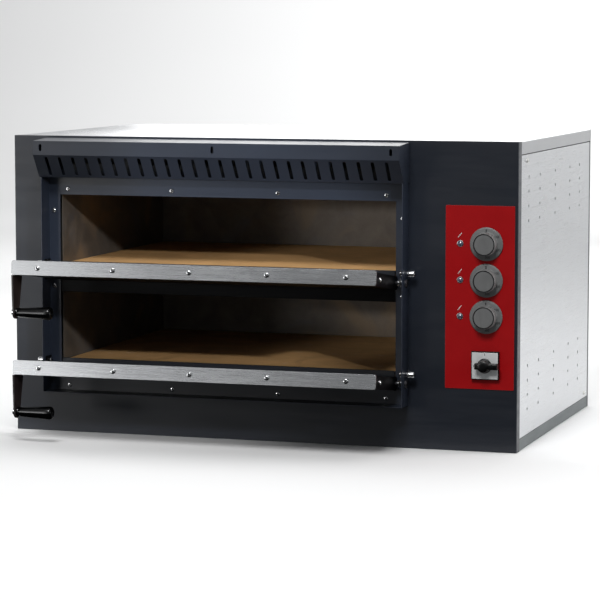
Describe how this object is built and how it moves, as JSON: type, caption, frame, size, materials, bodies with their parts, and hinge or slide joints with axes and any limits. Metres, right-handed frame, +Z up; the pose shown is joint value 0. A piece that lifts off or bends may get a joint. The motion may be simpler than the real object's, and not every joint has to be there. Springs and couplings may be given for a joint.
{
  "type": "countertop pizza oven",
  "caption": "Twin-deck electric countertop pizza oven with drop-down lever doors, stone floors, slotted front hood and a side control plate.",
  "frame": {"origin": "middle of the casing's underside, on the surface the oven stands on", "axes": "+Z up, the oven's front faces -Y, +X to the right as seen from the front"},
  "size_m": [0.9196, 0.7849, 0.525],
  "materials": {
    "base_paint": "satin powder coat",
    "dark_primer": "flat primer",
    "galvanised_steel": "zinc coated sheet",
    "anthracite_paint": "satin powder coat",
    "surround_paint": "satin powder coat",
    "control_red": "satin lacquer",
    "brushed_stainless": "brushed",
    "black_enamel": "heat-proof enamel",
    "sill_paint": "satin",
    "chrome_fixings": "bright",
    "black_bolts": "black oxide",
    "zinc_fixings": "zinc plated",
    "insulation_wool": "dark mineral wool",
    "chamber_steel": "heat-stained steel",
    "refractory_stone": "fired, matt",
    "element_steel": "oxidised",
    "thermostat_case": "plated",
    "copper_tube": "drawn",
    "shaft_steel": "turned",
    "knob_grey": "fine texture",
    "lamp_lens": "clear over colour",
    "switch_black": "fine texture",
    "switch_white": "satin",
    "terminal_ceramic": "unglazed",
    "gland_black": "moulded",
    "lever_steel": "dark coat, bare edges",
    "grip_black": "moulded, glossy"
  },
  "bodies": {
    "casing": {"base_tray": "base_paint", "chassis_frame": "dark_primer", "front_panel": "anthracite_paint", "control_plate": "control_red", "top_cover": "brushed_stainless", "left_side_panel": "brushed_stainless", "right_side_panel": "brushed_stainless", "back_panel": "anthracite_paint", "vent_hood": "anthracite_paint", "door_surround": "surround_paint", "middle_rail": "black_enamel", "stone_sills": "sill_paint", "compartment_wall": "galvanised_steel", "hinge_brackets": "black_enamel", "hinge_clamp_bolts": "chrome_fixings", "pivot_bolts": "black_bolts", "pivot_nuts": "zinc_fixings", "surround_screws": "chrome_fixings", "casing_screws": "zinc_fixings", "insulation_slabs": "insulation_wool", "upper_chamber_liner": "chamber_steel", "upper_stone": "refractory_stone", "upper_heating_elements": "element_steel", "lower_chamber_liner": "chamber_steel", "lower_stone": "refractory_stone", "lower_heating_elements": "element_steel", "upper_thermostat": "thermostat_case", "middle_thermostat": "thermostat_case", "lower_thermostat": "thermostat_case", "thermostat_bulbs": "copper_tube", "upper_pilot_lamp": "lamp_lens", "middle_pilot_lamp": "lamp_lens", "lower_pilot_lamp": "lamp_lens", "main_switch_body": "switch_black", "main_switch_plate": "switch_white", "terminal_block": "terminal_ceramic", "cable_gland": "gland_black"},
    "upper_door": {"upper_door_shell": "black_enamel", "upper_door_liner": "chamber_steel", "upper_door_insulation": "insulation_wool", "upper_door_band": "brushed_stainless", "upper_door_end_plates": "black_enamel", "upper_door_lever": "lever_steel", "upper_door_grip": "grip_black", "upper_door_screws": "chrome_fixings"},
    "lower_door": {"lower_door_shell": "black_enamel", "lower_door_liner": "chamber_steel", "lower_door_insulation": "insulation_wool", "lower_door_band": "brushed_stainless", "lower_door_end_plates": "black_enamel", "lower_door_lever": "lever_steel", "lower_door_grip": "grip_black", "lower_door_screws": "chrome_fixings"},
    "upper_knob": {"upper_knob": "knob_grey", "upper_knob_shaft": "shaft_steel"},
    "middle_knob": {"middle_knob": "knob_grey", "middle_knob_shaft": "shaft_steel"},
    "lower_knob": {"lower_knob": "knob_grey", "lower_knob_shaft": "shaft_steel"},
    "main_switch": {"main_switch_handle": "switch_black"}
  },
  "joints": [
    {"name": "upper_door_hinge", "type": "hinge", "parent": "casing", "child": "upper_door", "pos_m": [-0.0618, -0.3133, 0.2843], "axis": [-1, 0, 0], "range_deg": [0, 81.8]},
    {"name": "lower_door_hinge", "type": "hinge", "parent": "casing", "child": "lower_door", "pos_m": [-0.0618, -0.3133, 0.1126], "axis": [-1, 0, 0], "range_deg": [0, 81.8]},
    {"name": "upper_knob_turn", "type": "hinge", "parent": "casing", "child": "upper_knob", "pos_m": [0.4035, -0.3, 0.353], "axis": [0, 1, 0], "range_deg": [0, 270]},
    {"name": "middle_knob_turn", "type": "hinge", "parent": "casing", "child": "middle_knob", "pos_m": [0.4035, -0.3, 0.2915], "axis": [0, 1, 0], "range_deg": [0, 270]},
    {"name": "lower_knob_turn", "type": "hinge", "parent": "casing", "child": "lower_knob", "pos_m": [0.4035, -0.3, 0.23], "axis": [0, 1, 0], "range_deg": [0, 270]},
    {"name": "main_switch_turn", "type": "hinge", "parent": "casing", "child": "main_switch", "pos_m": [0.4035, -0.3, 0.148], "axis": [0, 1, 0], "range_deg": [-90, 0]}
  ]
}
